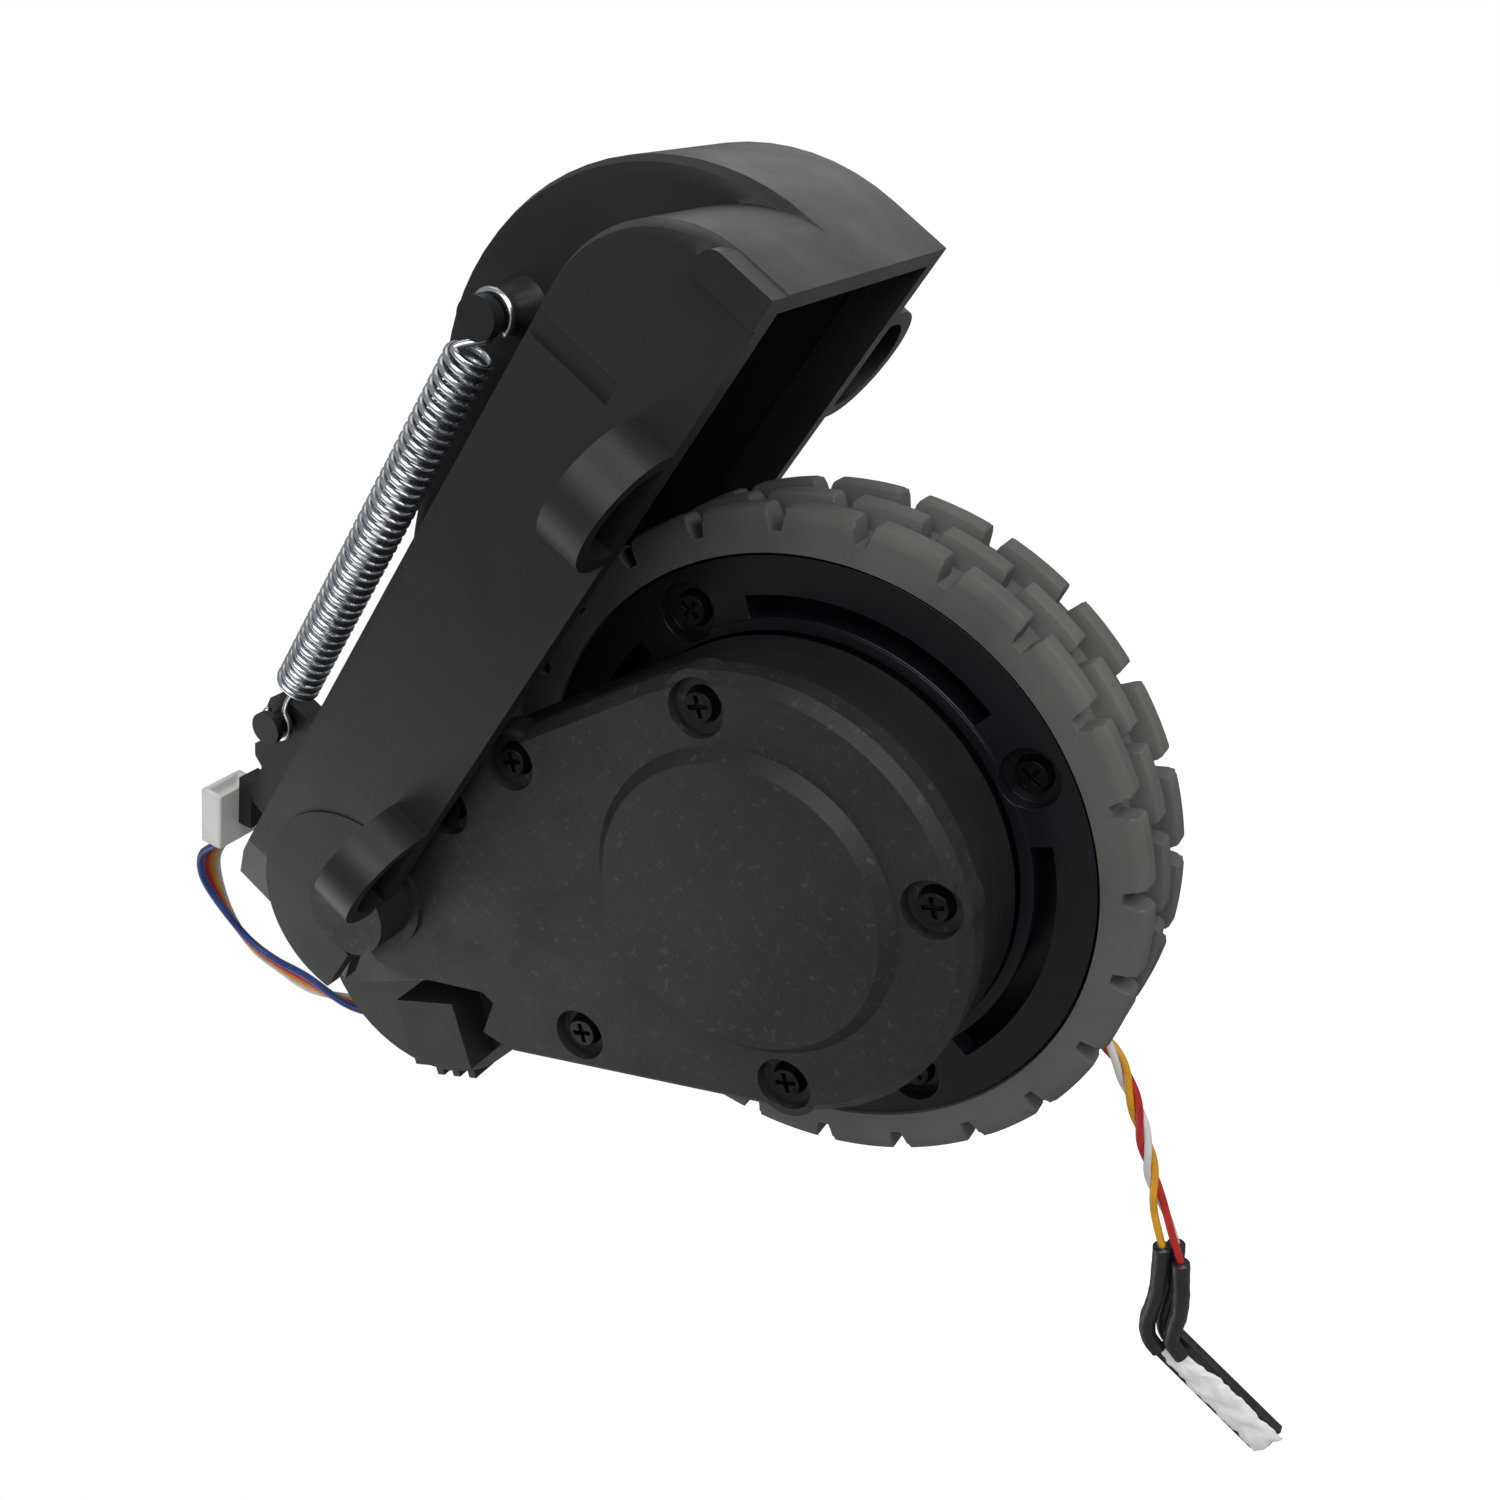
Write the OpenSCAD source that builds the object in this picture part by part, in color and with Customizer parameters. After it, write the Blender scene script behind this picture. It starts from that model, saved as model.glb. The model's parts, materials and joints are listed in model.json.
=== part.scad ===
// Drive wheel module of a robot vacuum: a fender that screws into the robot's base,
// a swing arm with motor and gears inside, a tyred wheel and a tension spring.
// +Z is up in the robot, Y runs along the wheel's axis, X from the arm's pivot to the arches.
// The origin is midway between the near pair of ear holes, on the ears' seat.

/* [Wheel] */
// Outer diameter over the tread blocks
wheel_d = 70; // [68:0.5:72]
// Thickness of the tyre with its tread
tyre_t = 4.5; // [4:0.1:5]
// Width of the tyre
tyre_w = 13; // [12:0.5:16]
// Depth of the grooves between tread blocks
tread_depth = 2.1; // [1.5:0.1:2.5]
// Tread blocks in each row
tread_blocks = 24; // [20:1:28]
// Gap between neighbouring blocks of a row
block_gap = 1.5; // [1:0.1:2]
// Groove between two rows of blocks
row_gap = 0.8; // [0.6:0.1:1.2]
// Width of the hub cap's ring
ring_w = 7.6; // [7.2:0.1:8]

/* [Swing arm] */
// Reach of the pivot's axis beyond the tyre
pivot_reach = 11.7; // [11:0.1:15]
// Angle of the arm below level with the wheel fully out
droop = 40.7; // [35:0.1:42]
// Diameter of the pivot stubs
pivot_d = 9.8; // [8:0.1:10]
// Radius of the gearbox round the wheel's axis
case_r = 22.8; // [22.6:0.1:24]
// Depth of the gearbox from the cover plate to its back
case_depth = 11.4; // [11.4:0.1:13]
// Wall of the gearbox
case_wall = 1.6; // [1.4:0.1:2]
// Diameter of the raised disc on the cover
disc_d = 32; // [26:0.5:36]
// Height of the raised disc
disc_h = 1.3; // [0.8:0.1:1.4]
// Gap between the gearbox or the tyre and the walls beside them
side_gap = 1; // [0.8:0.1:2]

/* [Motor and gears] */
// Diameter of the motor
motor_d = 24.2; // [22:0.2:24.4]
// Length of the motor's can
motor_l = 12.2; // [10:0.2:12.4]
// Diameter of the output shaft
shaft_d = 6; // [5:0.1:6.4]
// Diameter of the gear pins
gear_pin_d = 2; // [1.6:0.1:2.2]

/* [Fender] */
// Wall of the fender
wall = 1.8; // [1.4:0.1:2]
// Room from the raised tyre to the outside of the arches' front
front_gap = 4.97; // [4.4:0.01:8]
// Room from the raised gearbox to the top of the low roof
roof_gap = 5.42; // [5:0.01:7]
// Room from the raised tyre to the top of the big arch
arch_gap = 7.72; // [7:0.01:10]
// Radius of the small arch over the gearbox
small_r = 12.8; // [11:0.1:13]
// Radius of the big arch over the wheel
big_r = 25.3; // [24.5:0.1:26]
// Depth of the ears' cups below their seat
cup_depth = 3; // [2.5:0.1:3.5]

/* [Mounting ears] */
// Distance between the two ear holes of one side
ear_pitch = 52; // [50:0.5:54]
// Distance from the ear holes to the fender's wall
ear_offset = 3.2; // [3:0.1:3.6]
// Outer radius of an ear
ear_r = 6.5; // [6:0.1:7]
// Diameter of the screw holes in the ears
ear_hole_d = 3.4; // [2.8:0.1:3.6]
// Thickness of the ears' top plates
ear_plate = 1.6; // [1.2:0.1:2.4]
// Shift of the far pair of ears towards the arches
far_ear_shift = 8.3; // [6:0.1:9]

/* [Spring] */
// Outer diameter of the tension spring
spring_d = 5; // [4.4:0.1:5.2]
// Diameter of the spring's wire
wire_d = 0.8; // [0.6:0.05:0.9]
// Turns in the body of the spring
spring_turns = 40; // [30:1:44]
// Drop of the spring below the top of the big arch
spring_drop = 6.9; // [6.2:0.1:7.2]

/* [Hidden] */
$fn = 64;

fit = 0.05;
seat_gap = 0.3;

// Stations along the wheel's axis
near_y = ear_offset;
near_in_y = near_y + wall;
disc_y = near_in_y + side_gap + 0.5;
plate_y = disc_y + disc_h;
case_y = plate_y + case_depth;
tyre_y = case_y + side_gap;
tyre_end_y = tyre_y + tyre_w;
far_in_y = tyre_end_y + side_gap + 0.2;
far_y = far_in_y + wall;
step_in_y = tyre_y - side_gap;
step_y = step_in_y - wall;
seam_y = plate_y + 3.5;
cover_t = 2;
cover_in_y = plate_y + cover_t;
floor_t = 2;
floor_y = case_y - floor_t;
motor_plate_y = plate_y + 4.4;

// Places of the pivot and the wheel in the fender
wheel_r = wheel_d / 2;
seat_d = wheel_d - 2 * tyre_t;
seat_r = seat_d / 2;
hub_opening_d = seat_d - 2 * ring_w;
hub_screw_r = hub_opening_d / 2 + 0.434 * ring_w;
arm_l = wheel_r + pivot_reach;
pivot = [-36.2, -0.4];
wheel = pivot + arm_l * [cos(droop), -sin(droop)];
open_z = -cup_depth;
end_x = -49.2;
lift = 24;
raised = pivot + arm_l * [cos(droop - lift), -sin(droop - lift)];
front_x = raised.x + wheel_r + front_gap;
roof_z = raised.y + case_r + roof_gap;
arch_z = raised.y + wheel_r + arch_gap;
spring_z = arch_z - spring_drop;
small_c = [front_x - small_r, roof_z - small_r];
big_c = [front_x - big_r, arch_z - big_r];
hump_r = wheel_r + wall + 0.8;
edge_r = 1.8;

// Gear train in the arm's own plane: u towards the wheel, v upwards, zero at the wheel's axis
pivot_u = [-arm_l, 0];
sleeve_t = 1.3;
sleeve_r = motor_d / 2 + sleeve_t;
motor_reach = wheel_r + sleeve_r + 0.92;
motor_at = motor_reach * [cos(192.77), sin(192.77)];
// The gears grow with the way from motor to axle, and the case with the gears
grow = motor_reach / 49.32;
tooth_m = 0.7 * grow;
motor_teeth = 10;
first_big = 32;
first_small = 10;
second_big = 30;
second_small = 12;
output_teeth = 48;
function centres(a, b) = tooth_m * (a + b) / 2;
// The point at distance rp from p and rq from q, on the left of the way from p to q
function meet(p, q, rp, rq) =
    let (d = norm(q - p), e = (q - p) / d, a = (rp * rp - rq * rq + d * d) / (2 * d))
    p + a * e + sqrt(max(0, rp * rp - a * a)) * [-e.y, e.x];
second_at = centres(second_small, output_teeth) * [cos(185.5), sin(185.5)];
first_at = meet(motor_at, second_at, centres(motor_teeth, first_big),
    centres(first_small, second_big));
function bearing(p, q) = atan2(q.y - p.y, q.x - p.x);

gear_t = 2.2;
layer_gap = 0.2;
near_layer = cover_in_y + 0.3;
mid_layer = near_layer + gear_t + layer_gap;
deep_layer = mid_layer + gear_t + layer_gap;

shaft_r = shaft_d / 2;
gear_pin_r = gear_pin_d / 2;
pivot_r = pivot_d / 2;
pivot_boss_r = pivot_r + 1.5;
screw_r = 0.95;
screw_head_r = 1.85;
pocket_r = 2.9;
pocket_depth = 1.5;
boss_r = screw_r + 1;
cover_screw_at = grow * [[0, 19.5], [19.5, 0], [0, -19.5], [-23.3, 14.7], [-23.8, -15.8], [-33.4, 9.9]];
bush_r = shaft_r + 1.5;
spigot_r = hub_opening_d / 2 - 1.4;
spigot_end_y = tyre_y + 4.3;
web_y = tyre_y + 7.3;
web_t = 2;
cap_y = tyre_y + 0.3;
cap_t = 2.6;
clip_y = tyre_end_y - 2.1;
clip_t = 0.8;

// Spring, post and horn
spring_y = step_y - 4.4;
post = [front_x - 24.3, spring_z];
post_neck_r = 1.6;
post_head_r = 2.1;
hook_pin = [-34.2, spring_z];
hook_pin_r = 1.3;
horn_y = spring_y + 1.2;
horn_t = 3;
spring_end = post.x - 4.2;
spring_start = -28;

// Leads: centre line and radius of the motor's four wires, and of the sensor's twisted lead
wire_r = 0.45;
wire_pitch = 1.2;
connector_at = [-52.1, 14.2, 22.9];
connector_tilt = 24.5;
motor_lead = [[-55.8, 14.2, 21.22], [-58.8, 14.2, 22.4], [-62.2, 14.3, 22], [-66, 14.8, 17.8],
    [-69.4, 15.4, 12.6], [-69.2, 16, 8.2], [-66.6, 16.2, 3.6], [-63.6, 16.6, -1.8], [-61.4, 18.6, -6.2],
    [-60, 22, -7.8], [-59.5, 27, -7.9], [-59.4, 30.6, -7.9], [-57.6, 32.9, -7.9], [-55.6, 32.6, -7.9],
    [-54.6, 31, -7.9]];
lead_spread = [[0, 1, 0], [0, 1, 0], [-0.25, 0.95, 0.25], [-0.45, 0.9, 0], [-0.6, 0.75, -0.15],
    [-0.6, 0.75, -0.15], [-0.6, 0.75, -0.1], [-0.5, 0.65, 0.5], [-0.4, 0.4, 0.8],
    [0, 0, 1], [0, 0, 1], [0, 0, 1], [0, 0, 1], [0, 0, 1], [0, 0, 1]];
sensor_r = 0.95;
sensor_hole = [-1.5, 4];
sensor_lead_at = [[-1.5, 34.8, 4], [-1.5, 37, 4], [-1.6, 39.2, 2.4], [-1.8, 40, -2], [-2.2, 40.2, -14],
    [-2.6, 40.2, -30], [-3.4, 40.2, -50], [-5.9, 40.2, -67.7], [-8.5, 40.2, -74], [-12.6, 40.2, -80],
    [-16.4, 40.2, -84.8], [-19.4, 40.2, -89]];
tube_at = [[-20.2, 40.2, -90.9], [-25, 40.2, -94.8], [-28.6, 40.2, -96.8], [-30.3, 40.2, -98.2]];
tube_spread = [[0.1, 0, -1.3], [0.4, 0, -1.4], [0.8, 0, -1.3], [0.9, 0, -1]];
tube_r = 1.05;
strip_at = [-31.2, 40.95, -107.15];
strip_size = [5, 1.2, 15.5];

function arc(c, r, from, to, n) =
    [for (i = [0:n]) c + r * [cos(from + (to - from) * i / n), sin(from + (to - from) * i / n)]];

// An outline in X and Z, or u and v, carried along Y from y0 to y1
module slab(y0, y1) {
    translate([0, y1, 0])
        rotate([90, 0, 0])
            linear_extrude(y1 - y0)
                children();
}

// A cylinder along Y at the place c in X and Z
module rod(c, r, y0, y1) {
    translate([c.x, y0, c.y])
        rotate([-90, 0, 0])
            cylinder(r = r, h = y1 - y0);
}

// A cone along Y from radius r0 at y0 to r1 at y1
module taper(c, r0, r1, y0, y1) {
    translate([c.x, y0, c.y])
        rotate([-90, 0, 0])
            cylinder(r1 = r0, r2 = r1, h = y1 - y0);
}

module in_arm() {
    translate([wheel.x, 0, wheel.y])
        rotate([0, droop, 0])
            children();
}

module on_wheel() {
    translate([wheel.x, 0, wheel.y])
        children();
}

// Fender

// Side view of the low part, drawn in by inset from its roof and front
module low_outline(inset, tail = 0) {
    polygon(concat([[end_x - tail, open_z - tail], [end_x - tail, roof_z - inset]],
        arc(small_c, small_r - inset, 90, 0, 16), [[front_x - inset, open_z - tail]]));
}

// Side view of the arch over the wheel
module arch_outline(inset, tail = 0) {
    polygon(concat([[big_c.x - 16.5, open_z - tail]],
        arc(big_c, big_r - inset, 127, 0, 24), [[front_x - inset, open_z - tail]]));
}

// Side view of the hump that clears the raised tyre behind the arch
module hump_outline(inset, tail = 0) {
    left = 180 - asin((roof_z - inset - raised.y) / (hump_r - inset));
    polygon(concat([[raised.x + (hump_r - inset) * cos(left), open_z - tail]],
        arc(raised, hump_r - inset, left, 88, 16), [[big_c.x - 13, open_z - tail]]));
}

// Plan view of what the near wall gives up towards the pivot's end
module tail_wedge(shift) {
    translate([0, 0, open_z - 8])
        linear_extrude(roof_z - open_z + 16)
            polygon([[-21.4, near_y + shift], [-40.4, near_y + 0.6 + shift],
                [end_x, near_y + 3.7 + shift], [end_x - 20, near_y + 3.7 + shift],
                [end_x - 20, near_y - 9], [-21.4, near_y - 9]]);
}

module low_shell() {
    difference() {
        hull() {
            slab(near_y, near_y + 0.02)
                low_outline(edge_r);
            slab(near_y + 0.3 * edge_r, near_y + 0.3 * edge_r + 0.02)
                low_outline(0.3 * edge_r);
            slab(near_y + edge_r, step_in_y)
                low_outline(0);
        }
        tail_wedge(0);
    }
    slab(step_in_y, far_y)
        low_outline(0);
}

module high_shell() {
    for (part = [0, 1])
        hull() {
            slab(step_y, step_y + 0.02)
                high_outline(part, edge_r);
            slab(step_y + 0.3 * edge_r, step_y + 0.3 * edge_r + 0.02)
                high_outline(part, 0.3 * edge_r);
            slab(step_y + edge_r, far_y)
                high_outline(part, 0);
        }
}

module high_outline(part, inset, tail = 0) {
    if (part == 0)
        arch_outline(inset, tail);
    else
        hump_outline(inset, tail);
}

module cavity() {
    difference() {
        slab(near_in_y, far_in_y)
            low_outline(wall, 20);
        tail_wedge(wall);
    }
    for (part = [0, 1])
        slab(step_in_y, far_in_y)
            high_outline(part, wall, 20);
}

// An open-bottomed ear: a round-nosed cup on the wall, with a screw hole in its top
module ear(x, wall_y, side) {
    nose = wall_y + side * 1;
    hole = wall_y + side * ear_offset;
    inner_r = ear_r - 1.5;
    translate([x, 0, open_z])
        difference() {
            union() {
                translate([0, nose, 0])
                    cylinder(r = ear_r, h = cup_depth + ear_plate);
                translate([-ear_r, min(wall_y - side * 0.3, nose), 0])
                    cube([2 * ear_r, abs(nose - wall_y) + 0.3, cup_depth + ear_plate]);
            }
            translate([0, nose, -1])
                cylinder(r = inner_r, h = cup_depth + 1);
            translate([0, hole, 0])
                cylinder(r = ear_hole_d / 2, h = cup_depth + ear_plate + 1);
            translate([-ear_r - 1, wall_y - side * 0.3 - (side > 0 ? 2 * ear_r : 0), -2])
                cube([2 * ear_r + 2, 2 * ear_r, cup_depth + ear_plate + 4]);
        }
}

module fender() {
    slot_r = pivot_r + 0.15;
    color("#232426")
        difference() {
            union() {
                difference() {
                    union() {
                        low_shell();
                        high_shell();
                    }
                    cavity();
                    // Way for the horn through the low roof
                    translate([end_x - 5, near_in_y + 3, roof_z - wall - 4])
                        cube([-end_x - 24, horn_y + horn_t + 1 - near_in_y - 3, wall + 8]);
                    translate([end_x - 5, near_in_y + 3, 3])
                        cube([wall + 6, horn_y + horn_t + 1 - near_in_y - 3, roof_z]);
                    // Way for the motor through the end wall
                    translate([end_x - 5, motor_plate_y - 1, open_z - 1])
                        cube([wall + 6, far_in_y - motor_plate_y + 1, 11]);
                }
                // Round pad at the pivot
                intersection() {
                    rod(pivot, 11.6, near_y, near_in_y);
                    slab(near_y - 1, near_in_y + 1)
                        low_outline(0.6);
                }
                rod(pivot, pivot_r + 3, far_in_y, far_y);
                // Raised field, pilaster and lip rib along the opening
                translate([28, near_y - 0.4, open_z])
                    cube([front_x - edge_r - 28, 0.8, 7.2]);
                pilaster();
                ear(-ear_pitch / 2, near_y, -1);
                ear(ear_pitch / 2, near_y, -1);
                ear(-ear_pitch / 2 + far_ear_shift, far_y, 1);
                ear(ear_pitch / 2 + far_ear_shift, far_y, 1);
                spring_post();
                inner_rib();
            }
            // Near stub drops into a slot, far stub turns in a bore
            slab(near_y - 1, near_in_y + 1.6) {
                translate(pivot)
                    circle(slot_r);
                translate([pivot.x - slot_r, open_z - 1])
                    square([2 * slot_r, pivot.y - open_z + 1]);
            }
            rod(pivot, pivot_r + fit, far_in_y - 1, far_y + 1);
            rod(sensor_hole, sensor_r + fit, far_in_y - 1, far_y + 1);
            // Sunk strip beside the raised field
            translate([31.3, near_y - 1, 4.3])
                cube([2.3, 1.5, 9.4]);
        }
}

// Upright rib with a round head at the front corner of the near wall
module pilaster() {
    slab(near_y - 0.9, near_y + edge_r) {
        translate([front_x - 3.1, open_z])
            square([3, 5.4]);
        translate([front_x - 1.6, open_z + 5.4])
            circle(1.5);
    }
}

// Post for the spring, on the arch's near side
module spring_post() {
    rod(post, post_neck_r, spring_y - 1.2, step_y + 0.2);
    rod(post, post_head_r, spring_y - 2.6, spring_y - 1.2);
    taper(post, post_neck_r, post_neck_r + 1.4, spring_y + 1.2, step_y + 0.1);
}

// Rib inside the far wall, along the opening
module inner_rib() {
    translate([16, far_in_y - 1, open_z + 3])
        cube([front_x - wall - 16.2, 1.2, 1.2]);
}

// Gearbox

// Outline of the cover before its notch is cut, drawn in by inset
module cover_outline(inset = 0) {
    polygon(concat(arc([0, 0], case_r - inset, -101, 102, 44),
        [[-34 * grow + 0.4 * inset, 14.6 * grow - inset]],
        arc(pivot_u, pivot_r + 2.7 - inset, 125, 205, 6),
        [[pivot_u.x - 4.1 + 0.8 * inset, -9.3 + 0.8 * inset], [-34.5 * grow, -19.2 * grow + inset]]));
}

// Outline of the body, with the round seat of the motor
module body_outline(inset = 0) {
    polygon(concat(arc([0, 0], case_r - inset, -101, 102, 44),
        [[-34 * grow + 0.4 * inset, 14.6 * grow - inset]],
        arc(pivot_u, pivot_r + 2.7 - inset, 125, 170, 4),
        arc(motor_at, sleeve_r + 0.7 - inset, 150, 300, 24),
        [[-36.4 * grow, -20.4 * grow + inset]]));
}

module cover_notch() {
    left = pivot_u.x - 20;
    polygon(concat([[left, -9.5], [pivot_u.x - 4.1, -9.3]],
        grow * [[-35.6, -11.5], [-34.5, -12.8], [-37.8, -17.4], [-37.3, -18.7], [-34.5, -19.7], [-34.5, -30]],
        [[left, -30 * grow]]));
}

module gearbox_cover() {
    bevel = 1.1;
    color("#2c2d2f")
        difference() {
            union() {
                in_arm() {
                    difference() {
                        union() {
                            hull() {
                                slab(plate_y, plate_y + 0.02)
                                    cover_outline(bevel);
                                slab(plate_y + bevel, seam_y)
                                    cover_outline();
                            }
                            for (p = cover_screw_at)
                                rod(p, pocket_r + 0.8, plate_y + 0.4, seam_y);
                        }
                        slab(plate_y - 1, seam_y + 1)
                            cover_notch();
                        slab(cover_in_y, seam_y + 1)
                            cover_room();
                    }
                    // Raised disc with a soft edge, over the output gear
                    taper([0, 0], disc_d / 2 - disc_h, disc_d / 2, disc_y, plate_y + 0.1);
                    // Seat of the near bush
                    rod([0, 0], bush_r + 1.6, cover_in_y - 0.5, near_layer - 0.1);
                    // Near pivot stub on a collar
                    rod(pivot_u, pivot_r + 1.2, plate_y - 0.5, plate_y + 0.5);
                    rod(pivot_u, pivot_r, near_y - 0.5, plate_y + 0.5);
                }
            }
            in_arm() {
                for (p = cover_screw_at) {
                    rod(p, pocket_r, plate_y - 1, plate_y + pocket_depth);
                    rod(p, screw_r + fit, plate_y, seam_y + 1);
                }
                rod([0, 0], bush_r + 0.01, disc_y + 1.6, near_layer + 1);
                for (p = [first_at, second_at])
                    rod(p, gear_pin_r + 0.02, cover_in_y - 1.2, cover_in_y + 1);
            }
        }
}

// Room inside the cover, kept off the notch's wall
module cover_room() {
    difference() {
        cover_outline(case_wall);
        offset(delta = case_wall)
            cover_notch();
        translate(pivot_u)
            circle(pivot_r + 2.6);
        for (p = cover_screw_at)
            translate(p)
                circle(boss_r);
    }
}

// Room for the gears in the body
module gear_room() {
    difference() {
        body_outline(case_wall);
        for (p = cover_screw_at)
            translate(p)
                circle(boss_r);
    }
}

module gearbox_body() {
    color("#1f2022")
        difference() {
            union() {
                in_arm() {
                    difference() {
                        slab(seam_y, case_y)
                            body_outline();
                        slab(seam_y - 1, floor_y)
                            gear_room();
                        // Front of the motor's seat lies lower than the seam
                        slab(seam_y - 1, motor_plate_y)
                            cover_notch();
                    }
                    // Lid and wall over the gears where the cover leaves off
                    slab(motor_plate_y, motor_plate_y + 1.2)
                        intersection() {
                            body_outline(0.4);
                            offset(delta = 0.2)
                                cover_notch();
                        }
                    slab(seam_y, motor_plate_y + 1.2)
                        intersection() {
                            body_outline(0.4);
                            difference() {
                                offset(delta = case_wall)
                                    cover_notch();
                                cover_notch();
                            }
                        }
                    square_boss();
                    // Sleeve round the motor
                    rod(motor_at, sleeve_r, case_y - 0.7, motor_end() + 0.4);
                    // Spigot and bearing boss inside the wheel
                    difference() {
                        rod([0, 0], spigot_r, case_y - 0.5, spigot_end_y);
                        rod([0, 0], spigot_r - 1.8, case_y, spigot_end_y + 1);
                    }
                    rod([0, 0], bush_r + 2, floor_y, spigot_end_y + 0.6);
                    for (k = [0:5])
                        rotate([0, 60 * k + 15, 0])
                            translate([bush_r, case_y - 0.5, -0.7])
                                cube([spigot_r - bush_r - 1, spigot_end_y - case_y - 0.8, 1.4]);
                }
                horn();
            }
            in_arm() {
                rod(motor_at, motor_d / 2 + 0.02, motor_front(), motor_end() + 1);
                rod(motor_at, 3.3, floor_y - 1, motor_front() + 1);
                rod([0, 0], bush_r + 0.01, floor_y - 1, spigot_end_y + 2);
                for (p = [first_at, second_at])
                    rod(p, gear_pin_r + 0.02, floor_y - 1, floor_y + 1.4);
                for (p = cover_screw_at)
                    rod(p, screw_r + fit, seam_y - 1, seam_y + 6.2);
            }
        }
}

function motor_front() = floor_y + 1.3;
function motor_end() = motor_front() + motor_l;

// Square boss on the motor's seat, with a row of small ribs at its foot
module square_boss() {
    slab(plate_y, motor_plate_y + 0.3)
        translate([motor_at.x - 0.7, motor_at.y - 10.6])
            square([8.2, 8.2]);
    for (k = [0:2])
        translate([motor_at.x - 2.6 + 2.4 * k, motor_plate_y, motor_at.y - sleeve_r - 1.4])
            cube([1, 3.4, 2.4]);
}

// Horn that stands up from the pivot and holds the spring's lower hook
module horn() {
    top = spring_z + 2.8;
    difference() {
        slab(horn_y, horn_y + horn_t)
            horn_outline(top);
        in_arm()
            slab(seam_y, floor_y)
                gear_room();
    }
    // Cradle under the plug
    translate(connector_at)
        rotate([0, -connector_tilt, 0])
            translate([-1.2, horn_y - connector_at.y, -3.4])
                cube([6.4, horn_t, 1.88]);
    rod(hook_pin, hook_pin_r, spring_y - 1.1, horn_y + 0.5);
    rod(hook_pin, hook_pin_r + 0.6, spring_y - 1.9, spring_y - 1.1);
}

module horn_outline(top) {
    polygon([[pivot.x + 5, pivot.y - 3], [-31.4, 8], [-32.4, 16], [-31.6, 18.5], [-31.8, top - 0.8],
        [-33.4, top], [-36.2, top - 0.2], [-37.4, top - 1.8], [-39, top - 1.6], [-40.6, top - 0.9],
        [-42, top - 1.6], [-42.6, top - 3], [-44.4, top - 3.4], [-46.4, top - 2.8], [-48, top - 4],
        [-48.4, top - 6.4], [-43.4, 8], [-43, 0], [pivot.x - 5, pivot.y - 4]]);
}

// A cross-headed screw along Y, head towards the near side
module screw(p, head_y, length, head_r, r) {
    rod(p, r, head_y, head_y + length);
    difference() {
        taper(p, head_r - 0.4, head_r, head_y - 1.1, head_y);
        translate([p.x - 0.25, head_y - 1.2, p.y - 1.1])
            cube([0.5, 0.8, 2.2]);
        translate([p.x - 1.1, head_y - 1.2, p.y - 0.25])
            cube([2.2, 0.8, 0.5]);
    }
}

module cover_screws() {
    color("#2a2a2a")
        in_arm()
            for (p = cover_screw_at)
                screw(p, plate_y + pocket_depth, seam_y + 5.8 - plate_y - pocket_depth,
                    screw_head_r, screw_r);
}

// Motor

module motor_can() {
    color("silver")
        in_arm()
            difference() {
                union() {
                    rod(motor_at, motor_d / 2, motor_front(), motor_end());
                    rod(motor_at, 3.1, floor_y + 0.1, motor_front() + 0.1);
                }
                rod(motor_at, motor_d / 2 - 1, motor_front() + 1, motor_end() + 1);
                rod(motor_at, 1 + fit, floor_y - 1, motor_front() + 2);
            }
}

module motor_magnets() {
    color("dimgray")
        in_arm()
            for (side = [0, 180])
                translate([motor_at.x, motor_front() + 1.6, motor_at.y])
                    rotate([0, side, 0])
                        rotate([-90, 0, 0])
                            rotate([0, 0, -60])
                                rotate_extrude(angle = 120)
                                    translate([motor_d / 2 - 3.4, 0])
                                        square([2.38, motor_l - 4.4]);
}

module motor_end_cap() {
    color("ivory")
        in_arm()
            difference() {
                rod(motor_at, motor_d / 2 - 1.02, motor_end() - 1.4, motor_end());
                rod(motor_at, 1 + fit, motor_end() - 2, motor_end() + 1);
            }
}

module motor_rotor() {
    color("goldenrod")
        in_arm() {
            rod(motor_at, 1, deep_layer - 0.2, motor_end() - 0.2);
            rod(motor_at, motor_d / 2 - 4, motor_front() + 2, motor_end() - 4.2);
            rod(motor_at, 2.6, motor_end() - 4.2, motor_end() - 1.8);
        }
}

// Cap that closes the motor's sleeve and carries the far pivot stub, notched for the wires
module motor_cap() {
    color("#1f2022")
        in_arm()
            difference() {
                union() {
                    rod(motor_at, sleeve_r, motor_end() + 0.4, motor_end() + 1.8);
                    rod(pivot_u, pivot_boss_r, motor_end() + 0.4, far_in_y - seat_gap);
                    rod(pivot_u, pivot_r, far_in_y - 1, far_y + 0.5);
                }
                slab(motor_end(), motor_end() + 2)
                    translate(motor_at)
                        rotate(180 + droop)
                            translate([sleeve_r - 4.6, -3])
                                square([8, 6]);
            }
}

// Gears

pressure = 25;
function inv_x(rb, t) = rb * (cos(t) + t * PI / 180 * sin(t));
function inv_y(rb, t) = rb * (sin(t) - t * PI / 180 * cos(t));

// One flank of an involute tooth centred on the X axis, from the root out
function flank(z, thin) =
    let (rp = tooth_m * z / 2, rb = rp * cos(pressure), ra = rp + 0.8 * tooth_m,
        half = 90 / z - thin / (2 * rp) * 180 / PI,
        phi = tan(pressure) * 180 / PI - pressure + half,
        ta = sqrt(ra * ra / (rb * rb) - 1) * 180 / PI)
    [for (i = [0:2]) let (t = ta * i / 2, x = inv_x(rb, t), y = inv_y(rb, t))
        [x * cos(phi) + y * sin(phi), -x * sin(phi) + y * cos(phi)]];

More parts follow.
